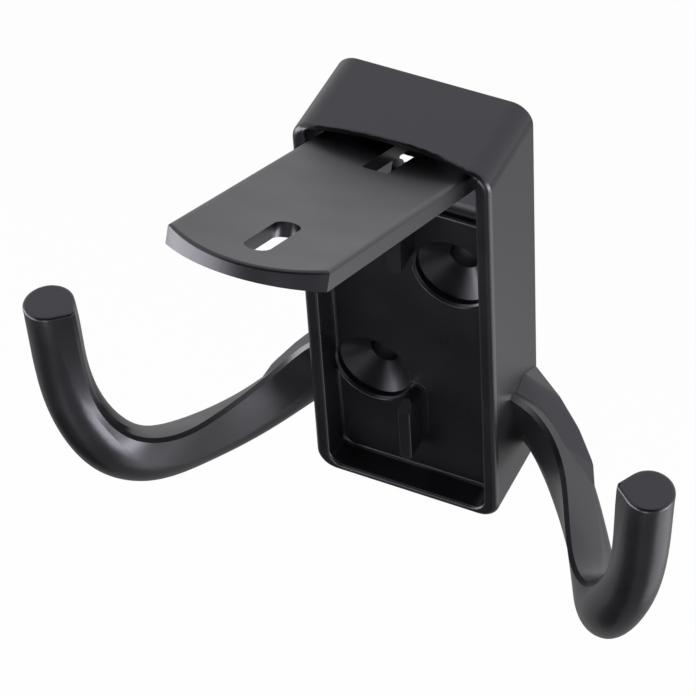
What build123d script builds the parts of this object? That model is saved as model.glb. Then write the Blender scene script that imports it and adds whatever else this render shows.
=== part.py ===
"""Double coat hook with a fold-down cover flap.

Frame: millimetres, +Z up, +X to the right, the wall lies in the XZ plane at Y = 0 and the
hook stands out towards -Y. The origin is the middle of the body's wall face.

Pieces: hook_body (one zinc casting: housing, prongs, hinge lug, locking tongue), cover_flap
(a second casting) and hinge_pin (steel). The flap is modelled shut and then turned to the
raised pose, so its slot, notch and tip are placed from the recess that they fit.
"""
from build123d import *
from math import acos, atan2, cos, hypot, pi, sin
import os

# Housing
BODY_WIDTH = 33.0
BODY_HEIGHT = 78.0
BODY_DEPTH = 17.0
CORNER_RADIUS = 3.6
RIM_OUTER_ROUNDING = 1.0
RIM_INNER_ROUNDING = 0.55
BACK_EDGE_ROUNDING = 0.4
SIDE_WALL = 2.5
TOP_WALL = 1.1
BOTTOM_WALL = 1.6
RECESS_DEPTH = 5.2
RECESS_CORNER_RADIUS = 2.4
FLOOR_COVE = 0.6
FLOOR_THICKNESS = 3.0
LEDGE_DROP = 16.3
LEDGE_ROUNDING = 0.6
TOP_EDGE_HOLLOW = 2.0
TOP_EDGE_ROUNDING = 0.4

# Hollow back
BACK_WALL = 1.6
BACK_WALL_HEIGHT = 16.2
POCKET_FLOOR_DROP = 37.0
POCKET_CORNER_RADIUS = 2.0

# Screw holes, one up on the right and one down on the left
SCREW_X = 7.5
SCREW_UP_DROP = 28.6
SCREW_DOWN_RISE = 22.0
COUNTERBORE_DIAMETER = 13.0
COUNTERBORE_DEPTH = 1.4
COUNTERBORE_RIM = 0.3
SEAT_DEPTH = 3.2
SCREW_HOLE_DIAMETER = 5.0
BOSS_WALL = 1.6

# Hinge
PIVOT_DEPTH = 6.6
PIVOT_DROP = 12.3
PIN_DIAMETER = 3.0
PIN_CHAMFER = 0.3
PIN_RUNNING_CLEARANCE = 0.05
PIN_PRESS_CLEARANCE = 0.01
PIN_END_INSET = 0.25
LUG_THICKNESS = 2.4
LUG_RADIUS = 2.7
LUG_FOOT_DROP = 26.4

# Locking tongue
TONGUE_WIDTH = 2.2
TONGUE_LENGTH = 12.8
TONGUE_RISE = 14.25
TONGUE_LEAD_IN = 1.6
TONGUE_INSET = 0.4
TONGUE_ROUNDING = 0.3

# Cover flap
FLAP_WIDTH = 25.0
FLAP_THICKNESS = 3.1
FLAP_END_BULGE = 4.3
FLAP_DISH = 0.7
FLAP_DISH_MARGIN = 0.9
FLAP_TIP_CLEARANCE = 0.2
FLAP_RAISE = 26.0
FLAP_EDGE_ROUNDING = 0.5
SLOT_END_CLEARANCE = 0.35
SLOT_SIDE_CLEARANCE = 0.9
NOTCH_SIDE_CLEARANCE = 0.9
NOTCH_END_CLEARANCE = 1.4
KNUCKLE_RADIUS = 2.9

# Prongs: stations from inside the housing's wall to well past the tip. Each holds the centre, with
# its X counted from the housing's side, the section's half width and half height, and its ridge,
# out along the half width and the half height.
PRONG_STATIONS = [
    ((-7.5, -4.4, -24.4), (3.6, 7.2), (-1.6, 10.2)),
    ((-0.5, -4.4, -25.2), (3.6, 7.0), (-1.6, 10.2)),
    ((7.1, -7.0, -31.0), (3.7, 5.0), (-1.8, 8.3)),
    ((13.6, -13.9, -35.2), (3.5, 4.8), (-3.2, 8.6)),
    ((18.8, -21.9, -35.4), (3.5, 5.0), (-3.7, 7.9)),
    ((23.2, -30.1, -32.7), (3.9, 5.1), (-3.3, 6.2)),
    ((27.7, -36.2, -26.2), (4.2, 4.9), (-2.8, 4.0)),
    ((31.7, -38.1, -17.2), (4.1, 4.5), (-3.2, 2.9)),
    ((33.7, -38.1, -6.0), (4.0, 4.3), (-3.9, 2.5)),
    ((34.4, -37.8, 5.5), (3.9, 4.2), (-4.3, 2.3)),
    ((34.6, -37.6, 17.0), (3.8, 4.1), (-4.5, 2.2)),
    ((34.6, -37.6, 28.0), (3.8, 4.1), (-4.5, 2.2)),
]
PRONG_SIDEWAYS = (0.8, 0.6, 0.0)
PRONG_LAND = 0.9
PRONG_TIP_Z = 6.1
PRONG_TIP_ROUNDING = 0.6
# The prong's form doesn't depend on the housing's width, so it is drawn this far from the middle,
# where its tip is known to round cleanly, and then moved to the wall.
PRONG_DRAWN_AT = 16.5

# Worked out from the sizes above: drops are measured from the top edge, rises from the bottom edge,
# and depths from the front plane
front_y = -BODY_DEPTH
floor_y = front_y + RECESS_DEPTH
slab_back_y = floor_y + FLOOR_THICKNESS
top_z = BODY_HEIGHT / 2
bottom_z = -BODY_HEIGHT / 2
pivot_y = front_y + PIVOT_DEPTH
pivot_z = top_z - PIVOT_DROP
ledge_z = top_z - LEDGE_DROP
lug_foot_z = top_z - LUG_FOOT_DROP
back_wall_z = top_z - BACK_WALL_HEIGHT
pocket_floor_z = top_z - POCKET_FLOOR_DROP
tongue_z = bottom_z + TONGUE_RISE
recess_top_z = top_z - TOP_WALL
recess_bottom_z = bottom_z + BOTTOM_WALL
recess_half_width = BODY_WIDTH / 2 - SIDE_WALL
pin_hole_radius = PIN_DIAMETER / 2 + PIN_PRESS_CLEARANCE
knuckle_bore_radius = PIN_DIAMETER / 2 + PIN_RUNNING_CLEARANCE
screw_up_z = top_z - SCREW_UP_DROP
screw_down_z = bottom_z + SCREW_DOWN_RISE
screw_holes = [(SCREW_X, screw_up_z), (-SCREW_X, screw_down_z)]
closing_angle = 90 + FLAP_RAISE


def front_plane(y):
    """A sketch plane at depth y, with its x along X, its y along Z and its normal towards -Y."""
    return Plane(origin=(0, y, 0), x_dir=(1, 0, 0), z_dir=(0, -1, 0))


def slab(x_low, x_high, z_low, z_high, y_back, y_front, corner=0.0):
    """A block between two depths, given by its front outline, with rounded corners if asked."""
    width = x_high - x_low
    height = z_high - z_low
    middle = Pos((x_low + x_high) / 2, (z_low + z_high) / 2)
    outline = RectangleRounded(width, height, corner) if corner else Rectangle(width, height)
    return extrude(front_plane(y_back) * middle * outline, y_back - y_front)


def rod(x, z, radius, y_back, y_front):
    """A round bar along Y."""
    return extrude(front_plane(y_back) * Pos(x, z) * Circle(radius), y_back - y_front)


def side_sketch(x):
    """A sketch plane square to X, with its x along Y and its y along Z."""
    return Plane(origin=(x, 0, 0), x_dir=(0, 1, 0), z_dir=(1, 0, 0))


def centred_plate(sketch, width):
    """A side outline (y, z) made solid, with its width shared between both sides of X = 0."""
    return extrude(side_sketch(-width / 2) * sketch, width)


def polygon(*points):
    """A flat face from its corners."""
    return make_face(Polyline(*points, close=True))


def make_housing():
    """The rounded box, its front recess, its hinge window and its hollow back."""
    half_width = BODY_WIDTH / 2
    box = slab(-half_width, half_width, bottom_z, top_z, 0, front_y, CORNER_RADIUS)
    box = fillet(box.faces().sort_by(Axis.Y)[0].edges(), RIM_OUTER_ROUNDING)
    box = fillet(box.faces().sort_by(Axis.Y)[-1].edges(), BACK_EDGE_ROUNDING)

    outline = Rectangle(2 * recess_half_width, recess_top_z - recess_bottom_z)
    outline = fillet(outline.vertices().sort_by(Axis.Y)[:2], RECESS_CORNER_RADIUS)
    outline = Pos(0, (recess_top_z + recess_bottom_z) / 2) * outline
    recess = extrude(front_plane(floor_y) * outline, RECESS_DEPTH + 1)
    housing = box - recess

    rim = [e for e in housing.edges() if is_inner_rim(e)]
    housing = fillet(rim, RIM_INNER_ROUNDING)
    foot = [e for e in housing.edges() if is_floor_foot(e)]
    housing = fillet(foot, FLOOR_COVE)
    return housing - hinge_window() - top_edge_hollow() - back_pocket()


def hinge_window():
    """What is cut through the floor behind the hinge, down to a ledge with a rounded edge."""
    edge_y = floor_y + LEDGE_ROUNDING
    edge_z = ledge_z - LEDGE_ROUNDING
    outline = make_face([
        Polyline((edge_y, ledge_z), (-BACK_WALL, ledge_z), (-BACK_WALL, recess_top_z),
                 (floor_y - 1, recess_top_z), (floor_y - 1, edge_z), (floor_y, edge_z)),
        RadiusArc((floor_y, edge_z), (edge_y, ledge_z), LEDGE_ROUNDING),
    ])
    return centred_plate(outline, 2 * recess_half_width)


def is_inner_rim(edge):
    """True for the recess's side and lower edges in the front plane."""
    low, high = edge.bounding_box().min, edge.bounding_box().max
    in_front = abs(low.Y - front_y) < 0.01 and abs(high.Y - front_y) < 0.01
    inside = max(abs(low.X), abs(high.X)) < recess_half_width + 0.01
    return in_front and inside and recess_bottom_z - 0.01 < low.Z < recess_top_z - 1


def is_floor_foot(edge):
    """True for the edges where the recess's walls stand on its floor."""
    low, high = edge.bounding_box().min, edge.bounding_box().max
    on_floor = abs(low.Y - floor_y) < 0.01 and abs(high.Y - floor_y) < 0.01
    return on_floor and low.Z < recess_top_z - 1


def top_edge_hollow():
    """The shallow arc that the top wall's front edge is cut back by, seen from above.

    It is cut by a large turned disc, whose rim flares out above and below the wall, so that the
    edge it leaves is rounded.
    """
    half_chord = recess_half_width
    radius = (half_chord ** 2 + TOP_EDGE_HOLLOW ** 2) / (2 * TOP_EDGE_HOLLOW)
    axis_y = front_y + TOP_EDGE_HOLLOW - radius
    flare = radius + TOP_EDGE_ROUNDING
    upper = top_z - TOP_EDGE_ROUNDING
    lower = recess_top_z + TOP_EDGE_ROUNDING
    rim = make_face([
        Line((radius, lower), (radius, upper)),
        RadiusArc((radius, upper), (flare, top_z), TOP_EDGE_ROUNDING),
        Polyline((flare, top_z), (flare, top_z + 1), (radius - 4, top_z + 1), (radius - 4, recess_top_z - 1),
                 (flare, recess_top_z - 1), (flare, recess_top_z)),
        RadiusArc((flare, recess_top_z), (radius, lower), TOP_EDGE_ROUNDING),
    ])
    side = Plane(origin=(0, axis_y, 0), x_dir=(0, 1, 0), z_dir=(1, 0, 0))
    disc = revolve(side * rim, Axis((0, axis_y, 0), (0, 0, 1)))
    return disc & slab(-half_chord, half_chord, recess_top_z - 1, top_z + 1, front_y + 3, front_y - 1)


def back_pocket():
    """What is cored out of the back above the bar that carries the prongs, round the screw boss."""
    pocket = slab(-recess_half_width, recess_half_width, pocket_floor_z, back_wall_z,
                  1, slab_back_y, POCKET_CORNER_RADIUS)
    boss = rod(SCREW_X, screw_up_z, COUNTERBORE_DIAMETER / 2 + BOSS_WALL, 2, slab_back_y - 1)
    opening = slab(-recess_half_width, recess_half_width, back_wall_z - 1, ledge_z + 1,
                   -BACK_WALL, slab_back_y)
    return pocket - boss + opening


def screw_hole(x, z):
    """A counterbore, a conical seat and a clear hole, bored in from the recess floor."""
    bore_radius = COUNTERBORE_DIAMETER / 2
    hole_radius = SCREW_HOLE_DIAMETER / 2
    seat_y = floor_y + COUNTERBORE_DEPTH
    seat_end_y = seat_y + SEAT_DEPTH
    rim_radius = bore_radius + COUNTERBORE_RIM
    profile = polygon((0, floor_y - 1), (rim_radius, floor_y - 1), (rim_radius, floor_y),
                      (bore_radius, floor_y + COUNTERBORE_RIM), (bore_radius, seat_y),
                      (hole_radius, seat_end_y), (hole_radius, 1), (0, 1))
    return Pos(x, 0, z) * revolve(profile, Axis.Y)


def make_lug():
    """The upright rib on the recess floor that rises to the hinge lug."""
    foot_y = slab_back_y - 1
    rib = polygon((front_y, lug_foot_z), (front_y, ledge_z), (pivot_y - LUG_RADIUS, pivot_z),
                  (pivot_y + LUG_RADIUS, pivot_z), (foot_y, ledge_z - 1), (foot_y, lug_foot_z))
    knuckle = Pos(pivot_y, pivot_z) * Circle(LUG_RADIUS)
    lug = centred_plate(rib + knuckle, LUG_THICKNESS)
    lug = fillet(lug.edges().filter_by(Axis.Y).sort_by(Axis.Z)[:2], LUG_THICKNESS / 2 - 0.05)
    return lug - pin_cylinder(pin_hole_radius, BODY_WIDTH)


def make_tongue():
    """The locking tongue: a slot-shaped post nearly as high as the rim, led in at its upper end."""
    outline = Rot(0, 0, 90) * SlotOverall(TONGUE_LENGTH, TONGUE_WIDTH)
    face_y = front_y + TONGUE_INSET
    post = extrude(front_plane(floor_y + 1) * Pos(0, tongue_z) * outline, floor_y + 1 - face_y)
    post = fillet(post.faces().sort_by(Axis.Y)[0].edges(), TONGUE_ROUNDING)
    top = tongue_z + TONGUE_LENGTH / 2
    lead_in = polygon((face_y - 1, top + 1), (face_y - 1, top - TONGUE_LEAD_IN),
                      (face_y, top - TONGUE_LEAD_IN), (face_y + 2 * TONGUE_LEAD_IN, top + 1))
    return post - centred_plate(lead_in, TONGUE_WIDTH + 1)


def pin_cylinder(radius, length):
    """A cylinder on the hinge axis, centred on X = 0."""
    start = Plane(origin=(-length / 2, pivot_y, pivot_z), x_dir=(0, 1, 0), z_dir=(1, 0, 0))
    return extrude(start * Circle(radius), length)


def tangent_angle(point, half_width, half_height, side):
    """Where the tangent from a point outside an ellipse touches it, as the ellipse's angle."""
    across, up = point.X / half_width, point.Y / half_height
    return atan2(up, across) + side * acos(1 / hypot(across, up))


def prong_section(plane, half_width, half_height, ridge):
    """A teardrop: an ellipse, and the two tangents drawn to it from the ends of the ridge's land."""
    middle = Vector(*ridge)
    half_land = Vector(-middle.Y, middle.X).normalized() * (PRONG_LAND / 2)
    land_start, land_end = middle - half_land, middle + half_land
    first = tangent_angle(land_end, half_width, half_height, 1)
    last = tangent_angle(land_start, half_width, half_height, -1) + 2 * pi
    sweep = last - first
    steps = 6
    shares = [i / steps for i in range(steps + 1)]
    angles = [first + sweep * share for share in shares]
    around = [Vector(half_width * cos(a), half_height * sin(a)) for a in angles]
    slopes = [Vector(-half_width * sin(a), half_height * cos(a)) * sweep for a in (first, last)]
    flat = Wire([
        Edge.make_line(land_start, land_end),
        Edge.make_line(land_end, around[0]),
        Edge.make_spline(around, slopes, parameters=shares, scale=False),
        Edge.make_line(around[-1], land_start),
    ])
    return plane.from_local_coords(flat)


def make_prong():
    """The right-hand prong, lofted through its stations, cut off level at the tip and rounded there."""
    drawn_at = Vector(PRONG_DRAWN_AT, 0, 0)
    centres = [drawn_at + centre for centre, _, _ in PRONG_STATIONS]
    headings = [centres[1] - centres[0]]
    headings += [after - before for before, after in zip(centres, centres[2:])]
    headings += [Vector(0, 0, 1)]
    sideways = Vector(*PRONG_SIDEWAYS)
    sections = []
    for (_, (half_width, half_height), ridge), centre, heading in zip(PRONG_STATIONS, centres, headings):
        forward = heading.normalized()
        plane = Plane(origin=centre, x_dir=sideways - forward * sideways.dot(forward), z_dir=forward)
        sections.append(prong_section(plane, half_width, half_height, ridge))
    prong = split(Solid.make_loft(sections), Plane.XY.offset(PRONG_TIP_Z), keep=Keep.BOTTOM)
    prong = fillet(prong.faces().sort_by(Axis.Z)[-1].edges(), PRONG_TIP_ROUNDING)
    return Pos(BODY_WIDTH / 2 - PRONG_DRAWN_AT, 0, 0) * prong


def make_hook_body():
    """The whole casting."""
    casting = make_housing() + make_lug() + make_tongue()
    prong = make_prong()
    casting = casting + prong + mirror(prong, about=Plane.YZ)
    for x, z in screw_holes:
        casting = casting - screw_hole(x, z)
    return casting


def make_cover_flap():
    """The flap as it lies when shut, in the recess."""
    tip_z = recess_bottom_z + FLAP_TIP_CLEARANCE
    inner_y = front_y + FLAP_THICKNESS
    shoulder_z = tip_z + FLAP_END_BULGE
    half_width = FLAP_WIDTH / 2

    outline = make_face([
        Line((-half_width, shoulder_z), (-half_width, pivot_z)),
        Line((-half_width, pivot_z), (half_width, pivot_z)),
        Line((half_width, pivot_z), (half_width, shoulder_z)),
        ThreePointArc((half_width, shoulder_z), (0, tip_z), (-half_width, shoulder_z)),
    ])
    plate = extrude(front_plane(inner_y) * outline, FLAP_THICKNESS)

    pivot = Pos(pivot_y, pivot_z)
    round_end = pivot * Circle(PIVOT_DEPTH) & polygon(
        (front_y - 1, pivot_z), (inner_y, pivot_z),
        (inner_y, pivot_z + PIVOT_DEPTH + 1), (front_y - 1, pivot_z + PIVOT_DEPTH + 1))
    neck = polygon((inner_y - 1, pivot_z - KNUCKLE_RADIUS), (pivot_y, pivot_z - KNUCKLE_RADIUS),
                   (pivot_y, pivot_z), (inner_y - 1, pivot_z))
    hinge_end = centred_plate(round_end + neck + pivot * Circle(KNUCKLE_RADIUS), FLAP_WIDTH)

    flap = plate + hinge_end - flap_dish()
    flap = fillet(outer_face_rim(flap, shoulder_z), FLAP_EDGE_ROUNDING)

    slot = SlotOverall(TONGUE_LENGTH + 2 * SLOT_END_CLEARANCE, TONGUE_WIDTH + 2 * SLOT_SIDE_CLEARANCE)
    slot = front_plane(inner_y + 1) * Pos(0, tongue_z) * Rot(0, 0, 90) * slot
    flap = flap - extrude(slot, FLAP_THICKNESS + 2)

    notch_half_width = LUG_THICKNESS / 2 + NOTCH_SIDE_CLEARANCE
    notch = slab(-notch_half_width, notch_half_width, lug_foot_z - NOTCH_END_CLEARANCE,
                 top_z, -BACK_WALL, front_y - 1)
    return flap - notch - pin_cylinder(knuckle_bore_radius, FLAP_WIDTH + 2)


def flap_dish():
    """The shallow trough along the middle of the flap's outer face, an upright cylinder."""
    half_chord = FLAP_WIDTH / 2 - FLAP_DISH_MARGIN
    radius = (half_chord ** 2 + FLAP_DISH ** 2) / (2 * FLAP_DISH)
    circle = Pos(0, front_y + FLAP_DISH - radius) * Circle(radius)
    return extrude(Plane.XY.offset(bottom_z) * circle, BODY_HEIGHT)


def outer_face_rim(flap, shoulder_z):
    """The edges round the flap's outer face, along both sides and the curved tip."""
    rim = []
    for edge in flap.edges():
        box = edge.bounding_box()
        flush = box.max.Y < front_y + 0.01 and min(abs(box.min.X), abs(box.max.X)) > FLAP_WIDTH / 2 - 0.01
        at_tip = box.max.Y < front_y + FLAP_DISH + 0.01 and box.max.Z < shoulder_z + 0.01
        if flush or at_tip:
            rim.append(edge)
    return rim


def make_hinge_pin():
    """The steel pin that the flap turns on."""
    pin = pin_cylinder(PIN_DIAMETER / 2, FLAP_WIDTH - 2 * PIN_END_INSET)
    return chamfer(pin.edges().filter_by(GeomType.CIRCLE), PIN_CHAMFER)


def raise_flap(shut_flap):
    """Turn the shut flap about the hinge axis to the raised pose."""
    axis = Axis((0, pivot_y, pivot_z), (1, 0, 0))
    return shut_flap.rotate(axis, -closing_angle)


def main():
    """Build every piece and write one STEP file for each."""
    os.makedirs("parts", exist_ok=True)
    pieces = {
        "hook_body": make_hook_body(),
        "cover_flap": raise_flap(make_cover_flap()),
        "hinge_pin": make_hinge_pin(),
    }
    for name, piece in pieces.items():
        export_step(piece, f"parts/{name}.step")
        box = piece.bounding_box()
        print(name, "volume", round(piece.volume), "mm3", "size", [round(v, 2) for v in box.size])
    return pieces


if __name__ == "__main__":
    main()
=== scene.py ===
import bmesh
import bpy
import math
import numpy as np
from mathutils import Matrix, Vector


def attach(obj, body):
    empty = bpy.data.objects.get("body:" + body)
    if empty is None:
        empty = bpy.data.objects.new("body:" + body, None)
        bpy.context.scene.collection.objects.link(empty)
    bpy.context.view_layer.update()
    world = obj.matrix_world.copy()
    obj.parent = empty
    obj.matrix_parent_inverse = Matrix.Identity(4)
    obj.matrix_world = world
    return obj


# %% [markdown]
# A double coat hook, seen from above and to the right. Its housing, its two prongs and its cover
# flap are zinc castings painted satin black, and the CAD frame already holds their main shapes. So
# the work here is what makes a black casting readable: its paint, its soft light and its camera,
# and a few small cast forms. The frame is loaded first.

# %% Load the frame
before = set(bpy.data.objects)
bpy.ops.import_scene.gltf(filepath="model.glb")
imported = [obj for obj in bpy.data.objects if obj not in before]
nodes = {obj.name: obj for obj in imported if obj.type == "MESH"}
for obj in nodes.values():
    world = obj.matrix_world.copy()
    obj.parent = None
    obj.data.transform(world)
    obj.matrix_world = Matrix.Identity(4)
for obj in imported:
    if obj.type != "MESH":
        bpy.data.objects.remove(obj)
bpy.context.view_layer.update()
mm_per_m = 1000

# %% [markdown]
# The photograph was matched with a long lens, so that edges that run away from the camera stay
# almost parallel. A long lens far away gives the same flat look here. Azimuth and elevation say
# where the camera stands, the roll turns it a little, and the last two numbers slide it sideways
# until the hook sits in the frame as it does in the photograph.

# %% Camera
azimuth, elevation, roll = (math.radians(v) for v in (28.096, 46.277, -3.963))
distance, slide_right, slide_up = 0.55808, -0.015076, -0.014232
focal_pixels, frame_pixels, sensor_mm = 3467.8, 696, 36.0

backward = Vector((math.sin(azimuth) * math.cos(elevation),
                   -math.cos(azimuth) * math.cos(elevation), math.sin(elevation)))
level_right = Vector((math.cos(azimuth), math.sin(azimuth), 0))
level_up = backward.cross(level_right)
right = math.cos(roll) * level_right + math.sin(roll) * level_up
up = math.cos(roll) * level_up - math.sin(roll) * level_right

camera = bpy.data.objects.new("camera", bpy.data.cameras.new("camera"))
camera.data.sensor_width = sensor_mm
camera.data.lens = focal_pixels / frame_pixels * sensor_mm
camera.data.clip_start, camera.data.clip_end = 0.01, 20.0
place = backward * distance + right * slide_right + up * slide_up
turn = Matrix((right, up, backward)).transposed().to_4x4()
camera.matrix_world = Matrix.Translation(place) @ turn
bpy.context.scene.collection.objects.link(camera)
bpy.context.scene.camera = camera
print("lens in mm:", round(camera.data.lens, 1), "camera at", [round(v, 3) for v in place])

# %% [markdown]
# Colours are written as sRGB hex values, the way a paint chart gives them, and the shader wants
# linear light. One function makes that change, and another adds a node with its settings and
# its links in one line, so that each finish below reads like a recipe.

# %% Colour and node helpers
def linear(hex_colour):
    """An sRGB hex colour as linear RGBA: each channel goes through the sRGB curve backwards."""
    channels = [int(hex_colour[i:i + 2], 16) / 255 for i in (1, 3, 5)]
    return [c / 12.92 if c <= 0.04045 else ((c + 0.055) / 1.055) ** 2.4 for c in channels] + [1.0]


def add(tree, kind, settings=None, **sockets):
    """Adds a node of a kind. settings are its own properties. sockets are values or links, each
    named as the node names it, or i and its number."""
    node = tree.nodes.new(kind)
    for name, value in (settings or {}).items():
        setattr(node, name, value)
    for name, value in sockets.items():
        by_number = name[0] == "i" and name[1:].isdigit()
        socket = node.inputs[int(name[1:]) if by_number else name.replace("_", " ")]
        if isinstance(value, bpy.types.NodeSocket):
            tree.links.new(value, socket)
        else:
            socket.default_value = value
    return node


def new_material(name):
    """An empty material and its node tree, with the output node ready."""
    material = bpy.data.materials.new(name)
    material.use_nodes = True
    material.node_tree.nodes.clear()
    return material, material.node_tree, material.node_tree.nodes.new("ShaderNodeOutputMaterial")


print("mid grey in linear light:", [round(v, 3) for v in linear("#808080")[:3]])

# %% [markdown]
# The finish is black powder coat baked onto a zinc casting. Powder coat melts into a skin that is
# satin, not mirror-like, with a very fine orange peel of about a third of a millimetre, and its
# gloss drifts a little from place to place. How strongly it reflects, and the faint blue tint of
# its highlights, were set against the photograph. Noise is read in Object coordinates,
# which are metres here, so its scale comes straight from a real size.

# %% Satin black powder coat
def powder_coat(name, colour, roughness):
    """Satin powder coat: a dark dielectric skin with orange peel and slightly uneven gloss. One
    cell of the peel's noise holds a bump and a dip, so it is two peel widths across."""
    peel_mm, peel_depth_mm, gloss_patch_mm, gloss_drift = 0.35, 0.0035, 9, 0.03
    material, tree, output = new_material(name)
    place = add(tree, "ShaderNodeTexCoord").outputs["Object"]
    peel = add(tree, "ShaderNodeTexNoise", {"noise_dimensions": "3D"},
               Vector=place, Scale=mm_per_m / peel_mm / 2, Detail=2.0, Roughness=0.5)
    patches = add(tree, "ShaderNodeTexNoise", {"noise_dimensions": "3D"},
                  Vector=place, Scale=mm_per_m / gloss_patch_mm, Detail=3.0, Roughness=0.55)
    gloss = add(tree, "ShaderNodeMapRange", None, Value=patches.outputs["Fac"],
                i1=0.3, i2=0.7, i3=roughness - gloss_drift, i4=roughness + gloss_drift)
    skin = add(tree, "ShaderNodeBump", None, Height=peel.outputs["Fac"],
               Distance=peel_depth_mm / mm_per_m, Strength=1.0)
    shader = add(tree, "ShaderNodeBsdfPrincipled", None, Base_Color=linear(colour), IOR=1.6,
                 Specular_Tint=linear("#F2F0FF"), Roughness=gloss.outputs["Result"],
                 Normal=skin.outputs["Normal"])
    tree.links.new(shader.outputs["BSDF"], output.inputs["Surface"])
    return material


body_coat = powder_coat("satin_black_powder_coat", "#131316", 0.30)
flap_coat = powder_coat("satin_black_powder_coat_flap", "#161619", 0.32)
print("coats made:", body_coat.name, flap_coat.name)

# %% [markdown]
# The hinge pin is plain drawn steel. Only a little of it can ever be seen, in the flap's notch.
# Drawing leaves fine scratches along the pin, so its noise is stretched along X.

# %% Drawn steel
scratch_length_mm, scratch_width_mm = 5, 0.25
pin_steel, tree, output = new_material("drawn_steel_pin")
place = add(tree, "ShaderNodeTexCoord").outputs["Object"]
along_pin, across_pin = mm_per_m / scratch_length_mm, mm_per_m / scratch_width_mm
stretched = add(tree, "ShaderNodeMapping", None, Vector=place,
                Scale=(along_pin, across_pin, across_pin))
scratches = add(tree, "ShaderNodeTexNoise", None,
                Vector=stretched.outputs["Vector"], Scale=1.0, Detail=3.0)
gloss = add(tree, "ShaderNodeMapRange", None, Value=scratches.outputs["Fac"], i3=0.25, i4=0.45)
shader = add(tree, "ShaderNodeBsdfPrincipled", None, Base_Color=linear("#8E8F92"), Metallic=1.0,
             Roughness=gloss.outputs["Result"])
tree.links.new(shader.outputs["BSDF"], output.inputs["Surface"])
print("steel made:", pin_steel.name, "with scratches", scratch_width_mm, "mm wide")

# %% [markdown]
# The frame's nodes keep their shape and place. Only what fills their material slots changes.

# %% Dress the CAD nodes
finishes = {"hook_body": body_coat, "cover_flap": flap_coat, "hinge_pin": pin_steel}
for name, finish in finishes.items():
    node = nodes[name]
    for i in range(len(node.data.materials)):
        node.data.materials[i] = finish
    print(name, "wears", finish.name)

# %% [markdown]
# In the photograph the right prong leaves the housing in a web: a facet that climbs steeply from
# the prong's flank to the housing's back edge. The frame's prong meets the wall a few millimetres
# lower, so a small web is fitted over its root, and the left one is taken as its mirror image. It
# is the convex hull of corners on the wall, on the flank and inside the prong, in millimetres,
# with its edges rounded as cast edges are.

# %% Webs at the prongs' roots
def web(side):
    """A mesh in metres: the convex hull of the right-hand corners, mirrored where side is -1."""
    on_wall = [(16.3, -9.3, -16.1), (16.3, -5.5, -14.7), (16.3, -0.3, -17.4),
               (16.3, -1.2, -28.0), (16.3, -7.5, -26.0)]
    on_flank = [(20.4, -6.9, -20.1), (24.4, -9.0, -24.0), (27.2, -9.8, -28.3)]
    outer_edge = [(21.9, -2.4, -21.2), (25.8, -4.0, -25.4),
                  (29.4, -6.6, -29.7), (31.4, -10.4, -33.4)]
    inside = [(23.0, -6.8, -29.5), (26.5, -8.5, -31.5)]
    edge_rounding_m, rounding_steps, flat_enough = 0.0006, 4, math.radians(4)
    shape = bmesh.new()
    for x, y, z in on_wall + on_flank + outer_edge + inside:
        shape.verts.new((side * x / mm_per_m, y / mm_per_m, z / mm_per_m))
    bmesh.ops.convex_hull(shape, input=shape.verts)
    bmesh.ops.dissolve_limit(shape, angle_limit=flat_enough, verts=shape.verts, edges=shape.edges)
    bmesh.ops.bevel(shape, geom=shape.edges[:], offset=edge_rounding_m, segments=rounding_steps,
                    profile=0.5, affect="EDGES", clamp_overlap=True)
    bmesh.ops.recalc_face_normals(shape, faces=shape.faces)
    mesh = bpy.data.meshes.new("prong_root_web")
    shape.to_mesh(mesh)
    shape.free()
    return mesh


for name, side in (("right_root_web", 1), ("left_root_web", -1)):
    mesh = web(side)
    mesh.materials.append(body_coat)
    piece = bpy.data.objects.new(name, mesh)
    bpy.context.scene.collection.objects.link(piece)
    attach(piece, "hook")
    print(name, len(mesh.polygons), "faces")

# %% [markdown]
# The photograph shows fine raised lines on the recess floor, round the lower left of both
# counterbores and round the foot of the locking tongue. They may be the joints of the mould, and
# are named so here. Each is a half-ellipse less than half a millimetre wide, carried along a path
# on the floor and tapered at its ends. The path is worked out in millimetres.

# %% Mould lines on the recess floor
def arc(centre, radius, start_deg, end_deg, count=60):
    """Points on a circle: the centre plus the radius times cosine and sine of each angle."""
    angles = np.radians(np.linspace(start_deg, end_deg, count))
    return np.array(centre) + radius * np.stack([np.cos(angles), np.sin(angles)], axis=1)


def bead(path, width, height, floor_y):
    """A half-ellipse, cosine across and sine up, carried along a path of X and Z. Over a share of
    the path at each end its size grows evenly, from a small size to the full one. Gives the
    vertices in metres and the faces."""
    sunk, taper_share, end_size, section_points = 0.03, 0.12, 0.1, 9
    along = np.gradient(path, axis=0)
    along /= np.linalg.norm(along, axis=1)[:, None]
    share = np.linspace(0, 1, len(path))
    taper = np.clip(np.minimum(share, 1 - share) / taper_share, end_size, 1)[:, None]
    turn = np.linspace(0, np.pi, section_points)
    out, rise = np.cos(turn) * width / 2 * taper, np.sin(turn) * height * taper
    points = np.stack([path[:, :1] - along[:, 1:] * out, floor_y + sunk - rise,
                       path[:, 1:] + along[:, :1] * out], axis=2)
    first = np.arange(out.size).reshape(out.shape)
    nearer, further = first[:-1], first[1:]
    quads = np.stack([nearer, further, np.roll(further, -1, 1), np.roll(nearer, -1, 1)], axis=2)
    ends = [first[0].tolist(), first[-1].tolist()]
    return points.reshape(-1, 3) / mm_per_m, quads.reshape(-1, 4).tolist() + ends


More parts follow.
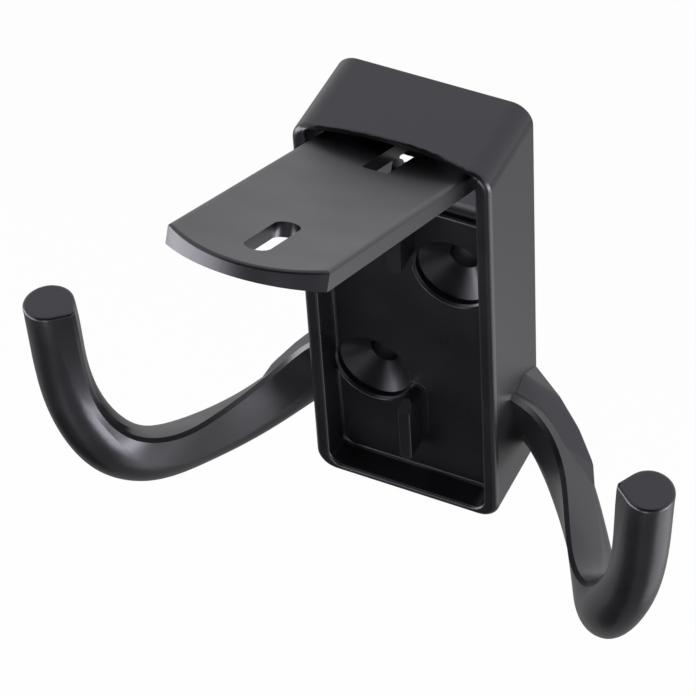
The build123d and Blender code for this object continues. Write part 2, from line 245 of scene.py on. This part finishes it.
recess_floor_y, rim_radius = -11.8, 7.05
lower_hole, upper_hole = (-7.5, -17.0), (7.5, 10.4)
tongue_foot = np.concatenate([np.linspace((-1.3, -18.0), (-0.8, -17.4), 6),
                              np.linspace((-0.6, -17.3), (0.6, -17.3), 12),
                              arc((0.6, -18.7), 1.4, 88, 2, 20),
                              np.linspace((2.0, -18.9), (2.0, -29.5), 40)])
lines = [(arc(lower_hole, rim_radius, 178, 300), 0.42, 0.16),
         (arc(upper_hole, rim_radius, 180, 297), 0.42, 0.16),
         (tongue_foot, 0.26, 0.10)]
vertices, faces = np.zeros((0, 3)), []
for path, width, height in lines:
    points, bead_faces = bead(path, width, height, recess_floor_y)
    faces += [[i + len(vertices) for i in face] for face in bead_faces]
    vertices = np.concatenate([vertices, points])

mesh = bpy.data.meshes.new("mould_lines")
mesh.from_pydata(vertices.tolist(), [], faces)
shape = bmesh.new()
shape.from_mesh(mesh)
bmesh.ops.recalc_face_normals(shape, faces=shape.faces)
shape.to_mesh(mesh)
shape.free()
mesh.shade_smooth()
mesh.materials.append(body_coat)
mould_lines = bpy.data.objects.new("mould_lines", mesh)
bpy.context.scene.collection.objects.link(mould_lines)
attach(mould_lines, "hook")
print("mould lines:", len(mesh.vertices), "vertices,", len(mesh.polygons), "faces")

# %% [markdown]
# The hook floats over a pale sweep in the photograph, with no shadow in view. A floor well below
# it takes the soft shadow that the lamps cast, out of the frame. Camera rays see the paper and the
# surroundings as white, and so do mirror-like reflections, so that steel shows the same studio.

# %% Floor
def rectangle(name, corners, material):
    """A flat four-cornered piece of the studio, from its corners in order."""
    mesh = bpy.data.meshes.new(name)
    mesh.from_pydata([tuple(c) for c in corners], [], [(0, 1, 2, 3)])
    mesh.materials.append(material)
    piece = bpy.data.objects.new(name, mesh)
    bpy.context.scene.collection.objects.link(piece)
    return piece


def seen_directly(tree):
    """1 for camera, mirror-like and see-through rays, 0 for soft light on its way to a surface."""
    rays = add(tree, "ShaderNodeLightPath")
    total = rays.outputs["Is Camera Ray"]
    for kind in ("Is Glossy Ray", "Is Transmission Ray"):
        total = add(tree, "ShaderNodeMath", {"operation": "ADD", "use_clamp": True},
                    i0=total, i1=rays.outputs[kind]).outputs[0]
    return total


floor_drop, floor_reach, paper_whiteness = 0.45, 3, 0.94
floor_paper, tree, output = new_material("white_sweep_paper")
paper = add(tree, "ShaderNodeBsdfDiffuse", None, Color=linear("#F2F2F2"))
glow = add(tree, "ShaderNodeEmission", None, Color=(1, 1, 1, 1), Strength=1.0)
whiteness = add(tree, "ShaderNodeMapRange", None,
                Value=seen_directly(tree), i3=0.0, i4=paper_whiteness)
both = add(tree, "ShaderNodeMixShader", None,
           i0=whiteness.outputs["Result"], i1=paper.outputs[0], i2=glow.outputs[0])
tree.links.new(both.outputs[0], output.inputs["Surface"])
rectangle("floor", [(x * floor_reach, y * floor_reach, -floor_drop)
                    for x, y in ((-1, -1), (1, -1), (1, 1), (-1, 1))], floor_paper)
print("floor", floor_drop, "m below the hook")

# %% [markdown]
# The world stands for the white surroundings. It lights every side softly, at less than full
# white, and looks white itself.

# %% World
soft_strength, seen_strength = 0.6, 1.0
world = bpy.data.worlds.new("studio")
bpy.context.scene.world = world
world.use_nodes = True
tree = world.node_tree
tree.nodes.clear()
output = tree.nodes.new("ShaderNodeOutputWorld")
strength = add(tree, "ShaderNodeMapRange", None,
               Value=seen_directly(tree), i3=soft_strength, i4=seen_strength)
sky = add(tree, "ShaderNodeBackground", None,
          Color=(1, 1, 1, 1), Strength=strength.outputs["Result"])
tree.links.new(sky.outputs[0], output.inputs["Surface"])
print("world strength", soft_strength, "as soft light and", seen_strength, "as seen")

# %% [markdown]
# Black paint shows little but what it reflects, so a photographer shapes a black object with cards.
# Here a black one stands towards the camera, and another lies where the flat faces that look
# straight out are reflected. A grey table and a low grey card in front stay dim. Two bright ones, a
# wide one low on the right and a narrow strip in front, shine more strongly than white. Their
# places and strengths were set by comparing renders with the photograph. The cards take part in
# mirror-like reflections only: they are out of the camera's sight, give no soft light and cast no
# shadow.

# %% Reflection cards
def card(name, corners, glow_low, glow_high, along=2):
    """A card that only reflections see. Its glow goes from low to high along X, Y or Z, which
    are 0, 1 and 2."""
    material, tree, output = new_material(name)
    place = add(tree, "ShaderNodeTexCoord").outputs["Object"]
    axis = add(tree, "ShaderNodeSeparateXYZ", None, Vector=place).outputs[along]
    ends = [c[along] for c in corners]
    level = add(tree, "ShaderNodeMapRange", None,
                Value=axis, i1=min(ends), i2=max(ends), i3=glow_low, i4=glow_high)
    shine = add(tree, "ShaderNodeEmission", None,
                Color=(1, 1, 1, 1), Strength=level.outputs["Result"])
    tree.links.new(shine.outputs[0], output.inputs["Surface"])
    piece = rectangle(name, corners, material)
    piece.visible_camera = piece.visible_diffuse = piece.visible_shadow = False
    print(name, "glows from", glow_low, "to", glow_high)


def lying(x0, x1, y0, y1, z0, z1):
    """The corners of a card below, at height z0 along its left edge and z1 along its right."""
    return [(x0, y0, z0), (x1, y0, z1), (x1, y1, z1), (x0, y1, z0)]


def standing(x0, x1, z0, z1, y0, y1):
    """The corners of a card in front, at Y of y0 along its foot and y1 along its top."""
    return [(x0, y0, z0), (x1, y0, z0), (x1, y1, z1), (x0, y1, z1)]


card("grey_table", lying(-1.1, 1.1, -0.9, 1.1, -0.35, -0.35), 0.0, 0.65, along=1)
card("black_table_card", lying(-0.33, 0.0, -0.46, -0.12, -0.345, -0.345), 0.0, 0.0)
card("right_low_card", lying(0.20, 0.75, -0.16, 0.28, -0.34, -0.18), 1.3, 2.4, along=0)
card("front_strip_card", standing(0.03, 0.14, -0.22, 0.0, -0.49, -0.49), 6.0, 6.0)
card("low_front_card", standing(-0.15, 0.8, -0.35, 0.05, -0.5, -0.5), 0.4, 0.6)
card("black_front_card", standing(-0.28, 0.8, 0.06, 0.75, -0.48, -0.25), 0.0, 0.0)

# %% [markdown]
# Two soft boxes stand low at the sides, a wide one on the left and a smaller one on the right. They
# are the only lamps, and the rest of the light comes from the world and the cards.

# %% Soft boxes
hook_middle = Vector((0, -0.02, 0))


def soft_box(name, place, width, height, watts):
    """An area lamp of a size in metres at a place, facing the hook and unseen by the camera."""
    lamp = bpy.data.lights.new(name, "AREA")
    lamp.shape = "RECTANGLE"
    lamp.size, lamp.size_y, lamp.energy = width, height, watts
    box = bpy.data.objects.new(name, lamp)
    box.location = place
    box.rotation_euler = (Vector(place) - hook_middle).to_track_quat("Z", "Y").to_euler()
    box.visible_camera = False
    bpy.context.scene.collection.objects.link(box)
    print(name, watts, "W")


soft_box("left_soft_box", (-0.49, -0.34, -0.06), 0.84, 0.30, 4.2)
soft_box("right_soft_box", (0.55, -0.05, -0.12), 0.40, 0.26, 2.4)

# %% [markdown]
# Standard is the plain view transform, at which a colour renders about as it is written.

# %% View settings
bpy.context.scene.view_settings.view_transform = "Standard"
